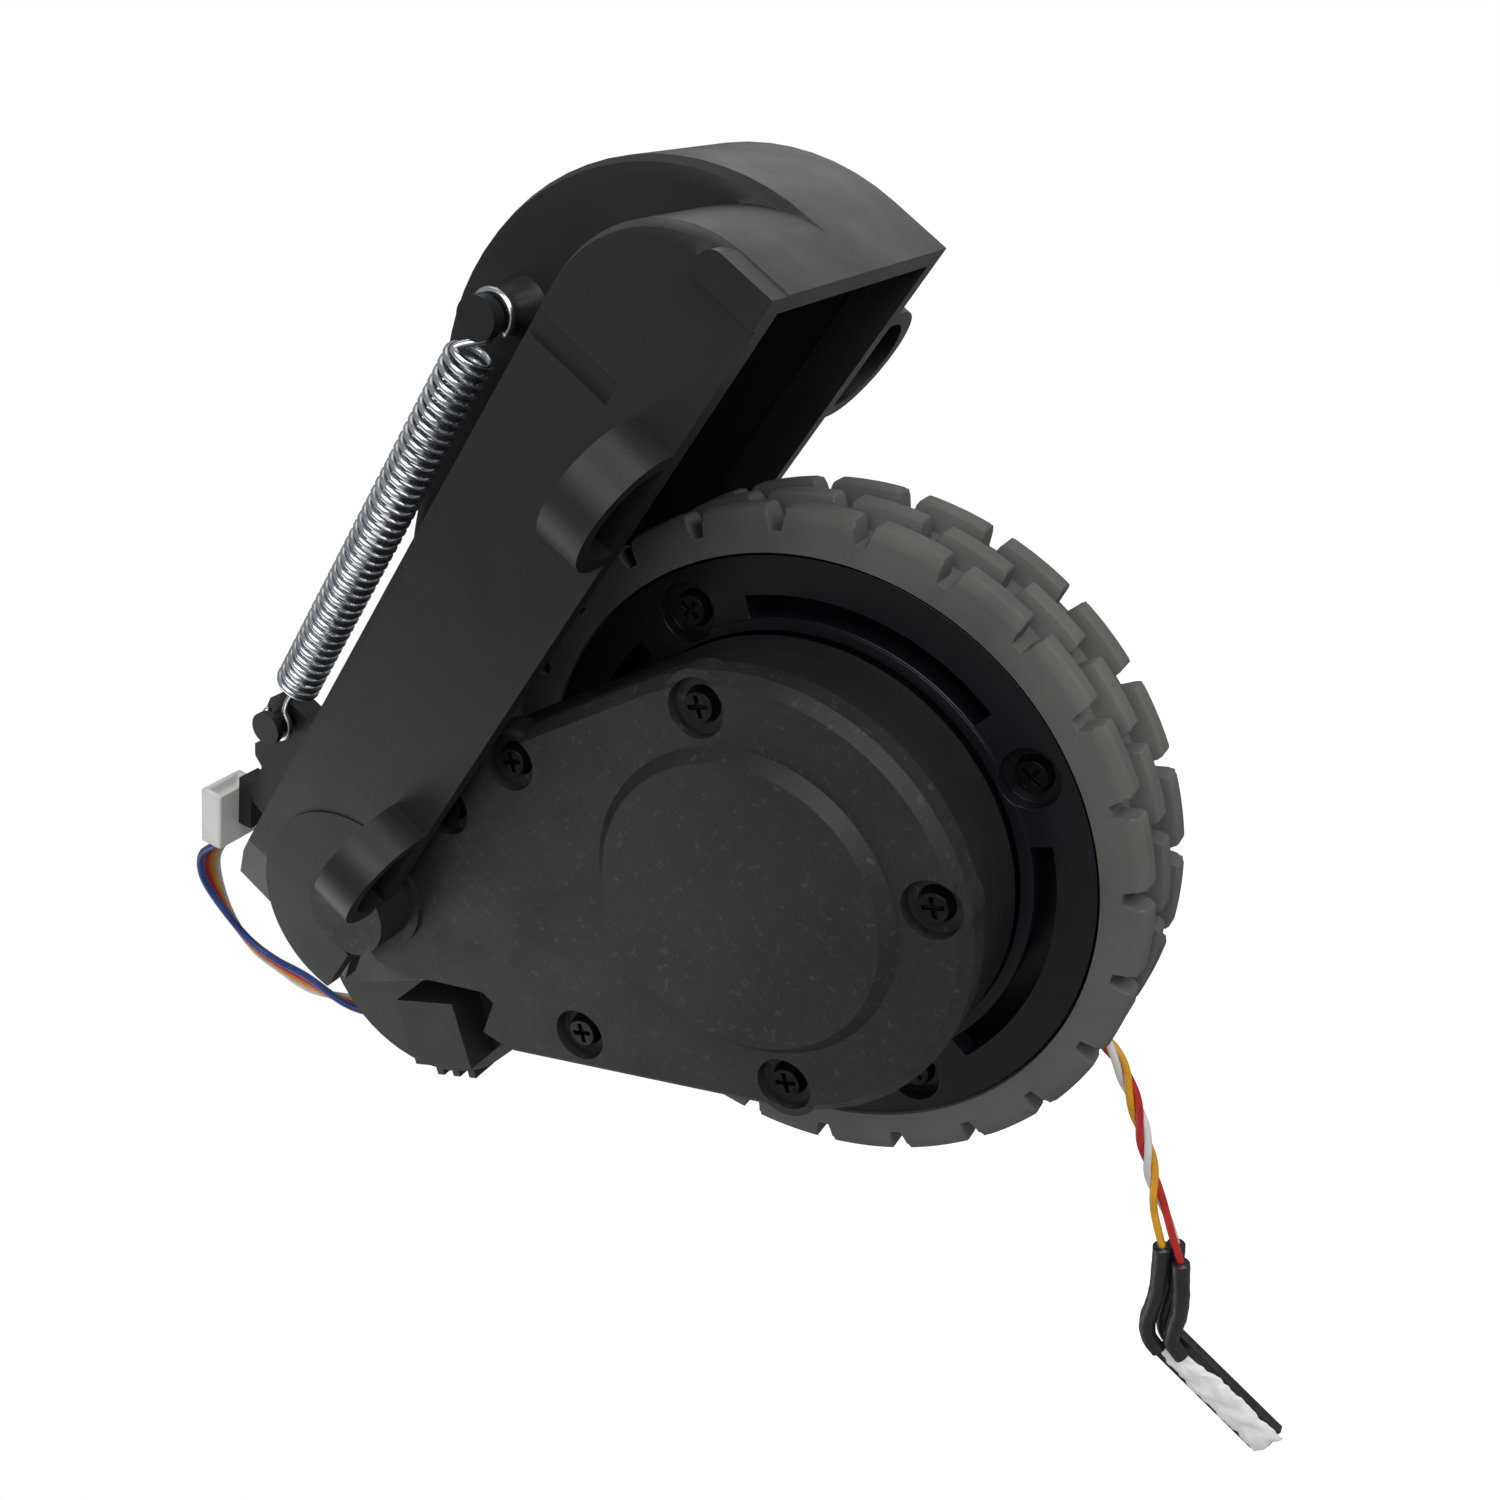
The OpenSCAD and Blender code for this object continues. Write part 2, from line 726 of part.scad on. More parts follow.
module toothed(z, thin = 0.06) {
    root = tooth_m * (z / 2 - 1.1);
    side = flank(z, thin);
    polygon([for (k = [0:z - 1]) let (a = 360 * k / z)
        each concat([[root * cos(a + bottom(z, side, root)), root * sin(a + bottom(z, side, root))]],
            [for (p = side) turned(p, a)],
            [for (i = [len(side) - 1:-1:0]) turned([side[i].x, -side[i].y], a)],
            [[root * cos(a - bottom(z, side, root)), root * sin(a - bottom(z, side, root))]])]);
}

function bottom(z, side, root) = min(atan2(side[0].y, side[0].x), 0) - 0.02;
function turned(p, a) = [p.x * cos(a) - p.y * sin(a), p.x * sin(a) + p.y * cos(a)];

// A gear at p whose tooth points along the angle phase
module gear(p, z, phase, y0) {
    slab(y0, y0 + gear_t)
        translate(p)
            rotate(phase)
                toothed(z);
}

module motor_pinion() {
    color("gold")
        in_arm()
            difference() {
                gear(motor_at, motor_teeth, bearing(motor_at, first_at), deep_layer);
                rod(motor_at, 1 + 0.01, deep_layer - 1, deep_layer + 5);
            }
}

module first_gear() {
    color("ivory")
        in_arm()
            difference() {
                union() {
                    gear(first_at, first_big, bearing(first_at, motor_at) + 180 / first_big, deep_layer);
                    gear(first_at, first_small, bearing(first_at, second_at), mid_layer);
                    rod(first_at, 2.2, near_layer, deep_layer + gear_t);
                }
                rod(first_at, gear_pin_r + fit, near_layer - 1, case_y);
            }
}

module second_gear() {
    color("ivory")
        in_arm()
            difference() {
                union() {
                    gear(second_at, second_big, bearing(second_at, first_at) + 180 / second_big, mid_layer);
                    gear(second_at, second_small, bearing(second_at, [0, 0]), near_layer);
                    rod(second_at, 2.4, near_layer, mid_layer + gear_t);
                }
                rod(second_at, gear_pin_r + fit, near_layer - 1, case_y);
            }
}

module gear_pins() {
    color("lightsteelblue")
        in_arm()
            for (p = [first_at, second_at])
                rod(p, gear_pin_r, cover_in_y - 1.1, floor_y + 1.3);
}

module output_gear() {
    color("ivory")
        in_arm()
            difference() {
                union() {
                    gear([0, 0], output_teeth, bearing([0, 0], second_at) + 180 / output_teeth, near_layer);
                    rod([0, 0], shaft_r + 2.5, near_layer, floor_y - 0.3);
                }
                rod([0, 0], shaft_r + 0.01, near_layer - 1, case_y);
            }
}

module output_shaft() {
    color("silver")
        on_wheel()
            difference() {
                rod([0, 0], shaft_r, disc_y + 1.9, tyre_end_y - 0.8);
                // Flat that carries the wheel hub
                translate([-shaft_r, spigot_end_y + 1, shaft_r - 0.6])
                    cube([2 * shaft_r, tyre_w, 1]);
                difference() {
                    rod([0, 0], shaft_r + 1, clip_y, clip_y + clip_t);
                    rod([0, 0], shaft_r - 0.4, clip_y - 1, clip_y + 2);
                }
            }
}

module near_bush() {
    color("peru")
        in_arm()
            difference() {
                rod([0, 0], bush_r, disc_y + 1.6, near_layer - 0.1);
                rod([0, 0], shaft_r + fit, disc_y, near_layer + 1);
            }
}

module far_bush() {
    color("peru")
        in_arm()
            difference() {
                rod([0, 0], bush_r, floor_y, spigot_end_y + 0.6);
                rod([0, 0], shaft_r + fit, floor_y - 1, spigot_end_y + 2);
            }
}

// Wheel

module wheel_hub() {
    rim_t = 2;
    hub_r = shaft_r + 3.6;
    color("#18181a")
        on_wheel()
            difference() {
                union() {
                    difference() {
                        rod([0, 0], seat_r - 0.02, cap_y + cap_t, tyre_end_y - 0.3);
                        rod([0, 0], seat_r - rim_t, cap_y, tyre_end_y + 1);
                    }
                    rod([0, 0], seat_r - rim_t + 0.1, web_y, web_y + web_t);
                    rod([0, 0], hub_r, spigot_end_y + 0.9, clip_y);
                    for (k = [0:3])
                        rod(hub_screw_place(k), 3.2, cap_y + cap_t, web_y + 0.1);
                    for (k = [0:7])
                        rotate([0, 45 * k, 0])
                            translate([hub_r - 0.5, web_y + web_t - 0.1, -0.8])
                                cube([seat_r - rim_t - hub_r + 1, tyre_end_y - 2.6 - web_y - web_t, 1.6]);
                }
                difference() {
                    rod([0, 0], shaft_r + 0.01, spigot_end_y, tyre_end_y + 1);
                    translate([-shaft_r, spigot_end_y, shaft_r - 0.59])
                        cube([2 * shaft_r, tyre_w, 2]);
                }
                for (k = [0:3])
                    rod(hub_screw_place(k), 1 + fit, cap_y, web_y - 0.4);
            }
}

function hub_screw_place(k) = hub_screw_r * [cos(65 + 90 * k), sin(65 + 90 * k)];

// Ring that closes the hub's near side, with arc slots between its screws
module hub_cap() {
    inner = hub_opening_d / 2;
    color("#141416")
        on_wheel()
            difference() {
                union() {
                    rod([0, 0], seat_r - 0.3, cap_y, cap_y + cap_t);
                    rod([0, 0], inner + 1.1, cap_y - 0.3, cap_y + 0.5);
                }
                rod([0, 0], inner, cap_y - 2, cap_y + cap_t + 1);
                for (k = [0:3])
                    arc_slot(65 + 90 * k + 15, 60, inner + 1.2, inner + 3.4);
                for (k = [0:3]) {
                    rod(hub_screw_place(k), 3, cap_y - 2, cap_y + 1.5);
                    rod(hub_screw_place(k), 1 + fit, cap_y, cap_y + cap_t + 1);
                }
            }
}

// A slot through the cap that runs round the axis from the angle start over sweep degrees
module arc_slot(start, sweep, r0, r1) {
    translate([0, cap_y + cap_t + 1, 0])
        rotate([90, 0, 0])
            rotate([0, 0, start])
                rotate_extrude(angle = sweep)
                    translate([r0, 0])
                        square([r1 - r0, cap_t + 2]);
}

module hub_screws() {
    color("#2a2a2a")
        on_wheel()
            for (k = [0:3])
                screw(hub_screw_place(k), cap_y + 1.5, web_y - 2.4 - cap_y, 1.95, 1);
}

module shaft_clip() {
    color("silver")
        on_wheel()
            difference() {
                rod([0, 0], shaft_r + 2, clip_y + 0.03, clip_y + clip_t - 0.03);
                rod([0, 0], shaft_r - 0.38, clip_y - 1, clip_y + 2);
                translate([-shaft_r + 0.8, clip_y - 1, 0])
                    cube([2 * shaft_r - 1.6, 3, shaft_r + 3]);
            }
}

// Half outline of the tyre, turned round the axis: carcass and three chamfered rows
module tyre() {
    row_w = (tyre_w - 2 * row_gap) / 3;
    ground = wheel_r - tread_depth;
    bevel = 0.5;
    color("#4a4b47")
        on_wheel()
            translate([0, tyre_y, 0])
                rotate([-90, 0, 0])
                    difference() {
                        rotate_extrude($fn = 96)
                            polygon(concat([[seat_r, 0]],
                                [for (k = [0:2]) let (a = k * (row_w + row_gap), b = a + row_w)
                                    each [[k == 0 ? wheel_r - 1.2 : ground, a],
                                        [wheel_r - (k == 0 ? 0.8 : bevel), a + (k == 0 ? 0 : 0)],
                                        [wheel_r, a + bevel], [wheel_r, b - bevel],
                                        [wheel_r - bevel, b], [k == 2 ? wheel_r - 1.2 : ground, b]]],
                                [[seat_r, tyre_w]]));
                        for (k = [0:2])
                            for (i = [0:tread_blocks - 1])
                                rotate([0, 0, (i + (k == 1 ? 0.5 : 0)) * 360 / tread_blocks + 4])
                                    translate([ground, -block_gap / 2, k * (row_w + row_gap) - row_gap / 2])
                                        cube([tread_depth + 1, block_gap, row_w + row_gap]);
                    }
}

// Points of path joined by a smooth curve, steps points to each stretch
function smooth(path, steps) = concat([for (i = [0:len(path) - 2], k = [0:steps - 1])
    let (a = path[max(i - 1, 0)], b = path[i], c = path[i + 1], d = path[min(i + 2, len(path) - 1)],
        t = k / steps)
    (2 * b + (c - a) * t + (2 * a - 5 * b + 4 * c - d) * t * t + (3 * b - a - 3 * c + d) * t * t * t) / 2],
    [path[len(path) - 1]]);

// Spring: a close helix along X with a round hook at each end

function ring_frame(path, i) =
    let (a = path[max(i - 1, 0)], b = path[min(i + 1, len(path) - 1)])
    (b - a) / norm(b - a);

// A tube of radius r with n sides along the points of path, its ring carried on without twist
module tube(path, r, n) {
    last = len(path) - 1;
    t0 = ring_frame(path, 0);
    first = cross(t0, abs(t0.y) > 0.8 ? [1, 0, 0] : [0, 1, 0]);
    sides = [for (i = 0, s = first / norm(first); i <= last;
        i = i + 1, s = i > last ? s : across(s, ring_frame(path, i))) s];
    polyhedron(points = [for (i = [0:last], k = [0:n - 1])
            path[i] + r * (cos(360 * k / n) * sides[i] + sin(360 * k / n) * cross(sides[i], ring_frame(path, i)))],
        faces = concat([[for (k = [0:n - 1]) k]],
            [for (i = [0:last - 1], k = [0:n - 1])
                [i * n + k, (i + 1) * n + k, (i + 1) * n + (k + 1) % n, i * n + (k + 1) % n]],
            [[for (k = [n - 1:-1:0]) last * n + k]]));
}

function across(s, t) = let (v = s - (s * t) * t) v / norm(v);

module tension_spring() {
    coil_r = (spring_d - wire_d) / 2;
    steps = 10;
    loop_r = post_neck_r + wire_d / 2 + 0.12;
    low_loop_r = hook_pin_r + wire_d / 2 + 0.12;
    coil = [for (i = [0:spring_turns * steps])
        [spring_end + (spring_start - spring_end) * i / (spring_turns * steps),
            spring_y - coil_r * sin(360 * i / steps), spring_z + coil_r * cos(360 * i / steps)]];
    upper = [for (a = [200:-20:-110])
        [post.x + loop_r * cos(a), spring_y, post.y + loop_r * sin(a)]];
    lower = [for (a = [-20:-20:-290])
        [hook_pin.x + low_loop_r * cos(a), spring_y, hook_pin.y + low_loop_r * sin(a)]];
    color("lightgray")
        tube(concat([for (i = [len(upper) - 1:-1:0]) upper[i]], [[post.x - loop_r - 1, spring_y, spring_z + 0.8]],
            [for (i = [2:len(coil) - 4]) coil[i]],
            [[hook_pin.x + low_loop_r + 1.2, spring_y, spring_z + 1]], lower),
            wire_d / 2, 5);
}

// Plug body of the motor lead, resting in the horn's cradle
module connector() {
    color("white")
        translate(connector_at)
            rotate([0, -connector_tilt, 0])
                difference() {
                    translate([-3.7, -3, -1.5])
                        cube([7.4, 6, 3]);
                    translate([2.2, -2.3, -0.9])
                        cube([2, 4.6, 1.8]);
                }
}

function wire_route(i) = [for (k = [0:len(motor_lead) - 1])
    motor_lead[k] + (i - 1.5) * wire_pitch * lead_spread[k]];

module wire(i) {
    tube(smooth(wire_route(i), 4), wire_r, 8);
}

module wire_blue() {
    color("royalblue")
        wire(0);
}

module wire_red() {
    color("red")
        wire(1);
}

module wire_yellow() {
    color("gold")
        wire(2);
}

module wire_white() {
    color("white")
        wire(3);
}

// Three twisted wires, drawn as one round lead
module sensor_lead() {
    color("orange")
        tube(smooth(sensor_lead_at, 5), sensor_r, 8);
}

// Three shrink tubes that fan out from the lead to the strip
module shrink_tubes() {
    color("#1b1b1c")
        for (k = [-1:1])
            tube(smooth([for (i = [0:3]) tube_at[i] + k * tube_spread[i] + [0, k == 0 ? 1 : -1, 0]], 5),
                tube_r, 8);
}

module sensor_strip() {
    color("#1d1d1e")
        translate(strip_at - strip_size / 2)
            cube(strip_size);
}

// White sealant over the strip's near face, uneven at its edges
module strip_sealant() {
    near = strip_at.y - strip_size.y / 2;
    x0 = strip_at.x - strip_size.x / 2;
    z0 = strip_at.z - strip_size.z / 2;
    color("white")
        slab(near - 0.7, near)
            polygon([[x0 + 0.2, z0 - 0.4], [x0 + 2.6, z0 - 0.8], [x0 + 4.7, z0 - 0.2], [x0 + 4.8, z0 + 3.8],
                [x0 + 4.2, z0 + 7.8], [x0 + 2.7, z0 + 10], [x0 + 2.4, z0 + 12.2], [x0 + 0.9, z0 + 13.4],
                [x0 + 0.2, z0 + 10.4], [x0 + 0.4, z0 + 5]]);
}

fender();
gearbox_cover();
gearbox_body();
cover_screws();
motor_can();
motor_magnets();
motor_end_cap();
motor_rotor();
motor_pinion();
motor_cap();
first_gear();
second_gear();
gear_pins();
output_gear();
output_shaft();
near_bush();
far_bush();
wheel_hub();
hub_cap();
hub_screws();
shaft_clip();
tyre();
tension_spring();
connector();
wire_blue();
wire_red();
wire_yellow();
wire_white();
sensor_lead();
shrink_tubes();
sensor_strip();
strip_sealant();
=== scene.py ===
import json
import math

import bmesh
import bpy
import numpy as np
from mathutils import Matrix, Vector

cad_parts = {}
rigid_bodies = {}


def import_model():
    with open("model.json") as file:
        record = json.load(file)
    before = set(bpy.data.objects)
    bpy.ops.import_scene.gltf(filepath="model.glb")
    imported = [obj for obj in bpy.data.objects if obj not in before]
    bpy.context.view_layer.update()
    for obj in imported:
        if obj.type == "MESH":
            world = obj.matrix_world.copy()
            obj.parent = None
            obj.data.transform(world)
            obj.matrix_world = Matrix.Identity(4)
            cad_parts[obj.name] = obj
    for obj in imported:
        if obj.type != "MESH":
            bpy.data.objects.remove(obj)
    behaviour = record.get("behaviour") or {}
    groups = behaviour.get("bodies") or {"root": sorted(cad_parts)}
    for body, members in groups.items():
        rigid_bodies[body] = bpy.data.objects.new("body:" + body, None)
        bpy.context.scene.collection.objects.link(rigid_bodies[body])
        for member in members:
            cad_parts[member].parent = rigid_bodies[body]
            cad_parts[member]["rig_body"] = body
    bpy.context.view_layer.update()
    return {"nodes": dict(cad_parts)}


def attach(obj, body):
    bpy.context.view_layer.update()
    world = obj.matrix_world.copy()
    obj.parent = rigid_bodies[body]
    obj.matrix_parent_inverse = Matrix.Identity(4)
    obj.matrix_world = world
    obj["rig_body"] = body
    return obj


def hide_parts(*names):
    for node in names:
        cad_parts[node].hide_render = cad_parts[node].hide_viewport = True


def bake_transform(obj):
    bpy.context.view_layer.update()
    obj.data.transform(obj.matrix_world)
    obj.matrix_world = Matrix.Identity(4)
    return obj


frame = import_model()
nodes = frame["nodes"]
mm = 0.001

# camera
# It looks at the gearbox cover's side, turned so that the arches point up
view = {
    "place": (97.25, -106.08, -38.59),  # mm, as all places below
    "right": (0.5092145, 0.4797186, -0.7145423),
    "down": (-0.6251820, -0.3644088, -0.6901838),
    "ahead": (-0.5914795, 0.7981706, 0.1143492),
    "lens": 38.4,
    "sensor": 36.0,
}


def addCamera(o):
    data = bpy.data.cameras.new("photoCamera")
    data.lens, data.sensor_width = o["lens"], o["sensor"]
    data.clip_start, data.clip_end = 0.01, 20
    cam = bpy.data.objects.new("photoCamera", data)
    bpy.context.scene.collection.objects.link(cam)
    axes = Matrix((o["right"], [-c for c in o["down"]], [-c for c in o["ahead"]])).transposed()
    cam.matrix_world = Matrix.Translation(Vector(o["place"]) * mm) @ axes.to_4x4()
    bpy.context.scene.camera = cam


addCamera(view)
print("camera placed")


# mesh helpers
def smoothPath(points, steps):
    # Points joined by a cubic that takes each point's slope from its two neighbours.
    p = np.asarray(points, float)
    a, b = np.vstack([p[:1], p[:-2]]), p[:-1]
    c, d = p[1:], np.vstack([p[2:], p[-1:]])
    t = (np.arange(steps) / steps)[None, :, None]
    a, b, c, d = (q[:, None, :] for q in (a, b, c, d))
    out = (2 * b + (c - a) * t + (2 * a - 5 * b + 4 * c - d) * t ** 2 + (3 * b - a - 3 * c + d) * t ** 3) / 2
    return np.vstack([out.reshape(-1, 3), p[-1:]])


def frames(p):
    # Tangents, and two normals carried along the path without twist.
    t = np.gradient(p, axis=0)
    t /= np.linalg.norm(t, axis=1)[:, None]
    start = np.cross(t[0], (1, 0, 0) if abs(t[0][1]) > 0.8 else (0, 1, 0))
    n = np.zeros_like(t)
    n[0] = start / np.linalg.norm(start)
    for i in range(1, len(t)):
        v = n[i - 1] - n[i - 1].dot(t[i]) * t[i]
        n[i] = v / np.linalg.norm(v)
    return t, n, np.cross(t, n)


def gridMesh(name, rings, looped=False):
    # rings[i, k] is a point at step i and turn k. Quads join the rings.
    # Flat caps close the ends, or with looped the last ring joins the first.
    steps, sides = rings.shape[:2]
    k = np.arange(sides)
    i = np.arange(steps if looped else steps - 1)[:, None] * sides
    nxt, after = (k + 1) % sides, (i + sides) % (steps * sides)
    quads = np.stack([i + k, i + nxt, after + nxt, after + k], -1).reshape(-1, 4)
    faces = quads.tolist()
    if not looped:
        faces += [list(range(sides))[::-1], list(range((steps - 1) * sides, steps * sides))]
    mesh = bpy.data.meshes.new(name)
    mesh.from_pydata(rings.reshape(-1, 3).tolist(), [], faces)
    mesh.update()
    bm = bmesh.new()
    bm.from_mesh(mesh)
    bmesh.ops.recalc_face_normals(bm, faces=bm.faces)
    bm.to_mesh(mesh)
    bm.free()
    mesh.shade_smooth()
    obj = bpy.data.objects.new(name, mesh)
    bpy.context.scene.collection.objects.link(obj)
    return obj


def sweep(name, path, radius, sides=12, lumps=None):
    # A circle of the given radius carried along path; lumps(s, angle) scales it along and round the tube.
    t, n, b = frames(path)
    angle = np.linspace(0, 2 * math.pi, sides, endpoint=False)[None, :, None]
    s = np.r_[0, np.cumsum(np.linalg.norm(np.diff(path, axis=0), axis=1))][:, None, None]
    r = radius * (np.ones_like(s * angle) if lumps is None else lumps(s, angle))
    rings = path[:, None, :] + r * (np.cos(angle) * n[:, None, :] + np.sin(angle) * b[:, None, :])
    return gridMesh(name, rings)


roundings = {"merge": 2e-6, "flat": 0.6, "sharp": 32, "segments": 2}


def roundedCopy(node, width, o=roundings):
    # A merged copy of a CAD node's mesh with its edges rounded by width, which then stands for the node.
    src = nodes[node]
    bm = bmesh.new()
    bm.from_mesh(src.data)
    bmesh.ops.remove_doubles(bm, verts=bm.verts, dist=o["merge"])
    bmesh.ops.dissolve_limit(bm, angle_limit=math.radians(o["flat"]), verts=bm.verts, edges=bm.edges)
    mesh = bpy.data.meshes.new(node + "Rounded")
    bm.to_mesh(mesh)
    bm.free()
    mesh.shade_smooth()
    mesh.set_sharp_from_angle(angle=math.radians(o["sharp"]))
    obj = bpy.data.objects.new(node + "Rounded", mesh)
    bpy.context.scene.collection.objects.link(obj)
    bevel = obj.modifiers.new("edges", "BEVEL")
    bevel.width, bevel.segments = width, o["segments"]
    bevel.limit_method, bevel.angle_limit = "ANGLE", math.radians(o["sharp"])
    bevel.use_clamp_overlap = True
    flat = obj.modifiers.new("flatFaces", "WEIGHTED_NORMAL")
    flat.keep_sharp, flat.weight = True, 100
    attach(obj, src["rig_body"])
    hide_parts(node)
    return obj


# finishes
# Scales are in cycles per metre, as Object coordinates are in metres
def surfaceFinish(name, o):
    # Cloudy colour between two shades, worn specks, uneven roughness and a fine grain as bump.
    m = bpy.data.materials.new(name)
    m.use_nodes = True
    tree = m.node_tree
    shader = tree.nodes["Principled BSDF"]
    coord = tree.nodes.new("ShaderNodeTexCoord")

    def noise(scale, detail, rough=0.55, stretch=None):
        n = tree.nodes.new("ShaderNodeTexNoise")
        n.inputs["Scale"].default_value = scale
        n.inputs["Detail"].default_value = detail
        n.inputs["Roughness"].default_value = rough
        if stretch is None:
            tree.links.new(coord.outputs["Object"], n.inputs["Vector"])
        else:
            mapping = tree.nodes.new("ShaderNodeMapping")
            mapping.inputs["Scale"].default_value = stretch[:3]
            mapping.inputs["Rotation"].default_value = stretch[3:]
            tree.links.new(coord.outputs["Object"], mapping.inputs["Vector"])
            tree.links.new(mapping.outputs["Vector"], n.inputs["Vector"])
        return n.outputs["Fac"]

    def ramp(source, low, high, a, b):
        r = tree.nodes.new("ShaderNodeValToRGB")
        r.color_ramp.elements[0].position, r.color_ramp.elements[1].position = low, high
        r.color_ramp.elements[0].color, r.color_ramp.elements[1].color = a, b
        tree.links.new(source, r.inputs["Fac"])
        return r.outputs["Color"]

    def mix(factor, a, b):
        n = tree.nodes.new("ShaderNodeMix")
        n.data_type = "RGBA"
        # sockets 6, 7 and 2 are the node's two colours and its colour result
        tree.links.new(factor, n.inputs[0])
        tree.links.new(a, n.inputs[6])
        n.inputs[7].default_value = b
        return n.outputs[2]

    cloud = noise(o["cloud"], 4)
    colour = ramp(cloud, 0.3, 0.7, (*o["dark"], 1), (*o["light"], 1))
    if "worn" in o:
        specks = noise(o["wornScale"], 9, 0.72)
        most = (o["wornShare"],) * 3 + (1,)
        share = ramp(specks, o["wornFrom"], o["wornFrom"] + 0.12, (0, 0, 0, 1), most)
        colour = mix(share, colour, (*o["worn"], 1))
    tree.links.new(colour, shader.inputs["Base Color"])
    rough = tree.nodes.new("ShaderNodeMapRange")
    rough.inputs["From Min"].default_value, rough.inputs["From Max"].default_value = 0.3, 0.7
    rough.inputs["To Min"].default_value = o["rough"] - o.get("roughSpread", 0.05)
    rough.inputs["To Max"].default_value = o["rough"] + o.get("roughSpread", 0.05)
    tree.links.new(noise(o["cloud"] * 3.1, 5), rough.inputs["Value"])
    tree.links.new(rough.outputs["Result"], shader.inputs["Roughness"])
    bump = tree.nodes.new("ShaderNodeBump")
    bump.inputs["Strength"].default_value = o["bump"]
    bump.inputs["Distance"].default_value = o.get("bumpDepth", 0.00005)
    tree.links.new(noise(o["grain"], 3, 0.6, o.get("grainStretch")), bump.inputs["Height"])
    tree.links.new(bump.outputs["Normal"], shader.inputs["Normal"])
    shader.inputs["Metallic"].default_value = o.get("metal", 0)
    shader.inputs["Specular IOR Level"].default_value = o.get("specular", 0.5)
    return m


finishes = {
    "fenderBlack": dict(specular=0.32, dark=(0.013, 0.0135, 0.015), light=(0.019, 0.0195, 0.0215),
        cloud=45, rough=0.42, roughSpread=0.05, grain=2600, bump=0.32, worn=(0.06, 0.06, 0.062),
        wornScale=520, wornFrom=0.66, wornShare=0.5),
    "coverBlack": dict(specular=0.32, dark=(0.014, 0.014, 0.0145), light=(0.024, 0.024, 0.024),
        cloud=70, rough=0.5, roughSpread=0.07, grain=3200, bump=0.5, worn=(0.085, 0.08, 0.074),
        wornScale=900, wornFrom=0.56, wornShare=0.5),
    "caseBlack": dict(specular=0.32, dark=(0.009, 0.009, 0.0105), light=(0.015, 0.015, 0.016), cloud=60,
        rough=0.45, grain=2600, bump=0.3),
    "hubBlack": dict(specular=0.32, dark=(0.005, 0.005, 0.008), light=(0.009, 0.009, 0.013), cloud=50,
        rough=0.3, roughSpread=0.06, grain=1800, bump=0.08, worn=(0.07, 0.07, 0.09), wornScale=700,
        wornFrom=0.7, wornShare=0.35),
    "treadRubber": dict(dark=(0.078, 0.081, 0.073), light=(0.11, 0.114, 0.103), cloud=90, rough=0.72,
        roughSpread=0.06, grain=3800, bump=0.45, worn=(0.2, 0.2, 0.19), wornScale=1100, wornFrom=0.62,
        wornShare=0.4),
    "screwBlack": dict(dark=(0.012, 0.012, 0.013), light=(0.03, 0.03, 0.032), cloud=400, rough=0.3,
        roughSpread=0.1, grain=5000, bump=0.2, metal=0.85),
    "brightSteel": dict(dark=(0.45, 0.45, 0.46), light=(0.62, 0.62, 0.63), cloud=160, rough=0.3,
        roughSpread=0.08, grain=900, bump=0.12, grainStretch=(1, 12, 1, 0, 0, 0), metal=1),
    "zincWire": dict(dark=(0.5, 0.53, 0.56), light=(0.74, 0.77, 0.8), cloud=500, rough=0.22,
        roughSpread=0.08, grain=4000, bump=0.1, metal=1),
    "ferrite": dict(dark=(0.05, 0.05, 0.052), light=(0.09, 0.09, 0.092), cloud=300, rough=0.7,
        grain=4000, bump=0.5),
    "windings": dict(dark=(0.35, 0.12, 0.05), light=(0.6, 0.26, 0.12), cloud=500, rough=0.35,
        grain=2500, bump=0.6, grainStretch=(1, 0.1, 1, 0, 0, 0), metal=0.9),
    "brassCut": dict(dark=(0.5, 0.34, 0.12), light=(0.72, 0.52, 0.22), cloud=300, rough=0.3, grain=4000,
        bump=0.15, metal=1),
    "sinteredBronze": dict(dark=(0.3, 0.17, 0.08), light=(0.46, 0.28, 0.13), cloud=600, rough=0.5,
        grain=6000, bump=0.5, metal=0.9),
    "acetal": dict(dark=(0.62, 0.6, 0.52), light=(0.76, 0.74, 0.66), cloud=120, rough=0.4, grain=1500,
        bump=0.1),
    "whiteNylon": dict(dark=(0.62, 0.62, 0.6), light=(0.78, 0.78, 0.76), cloud=200, rough=0.45,
        grain=2500, bump=0.2),
    "blueWire": dict(dark=(0.012, 0.035, 0.16), light=(0.03, 0.07, 0.28), cloud=300, rough=0.4,
        grain=2500, bump=0.2),
    "redWire": dict(dark=(0.34, 0.01, 0.008), light=(0.55, 0.02, 0.015), cloud=300, rough=0.38,
        grain=2500, bump=0.2),
    "yellowWire": dict(dark=(0.55, 0.24, 0.005), light=(0.78, 0.38, 0.01), cloud=300, rough=0.38,
        grain=2500, bump=0.2),
    "whiteWire": dict(dark=(0.58, 0.58, 0.58), light=(0.76, 0.76, 0.76), cloud=300, rough=0.4,
        grain=2500, bump=0.2),
    "shrinkBlack": dict(dark=(0.012, 0.012, 0.014), light=(0.022, 0.022, 0.025), cloud=400, rough=0.36,
        roughSpread=0.1, grain=900, bump=0.5),
    "whiteSealant": dict(dark=(0.8, 0.8, 0.8), light=(0.92, 0.92, 0.92), cloud=350, rough=0.5,
        grain=700, bump=0.9, bumpDepth=0.0002),
}
made = {name: surfaceFinish(name, o) for name, o in finishes.items()}


def paint(obj, finish):
    obj.data.materials.clear()
    obj.data.materials.append(made[finish])
    return obj


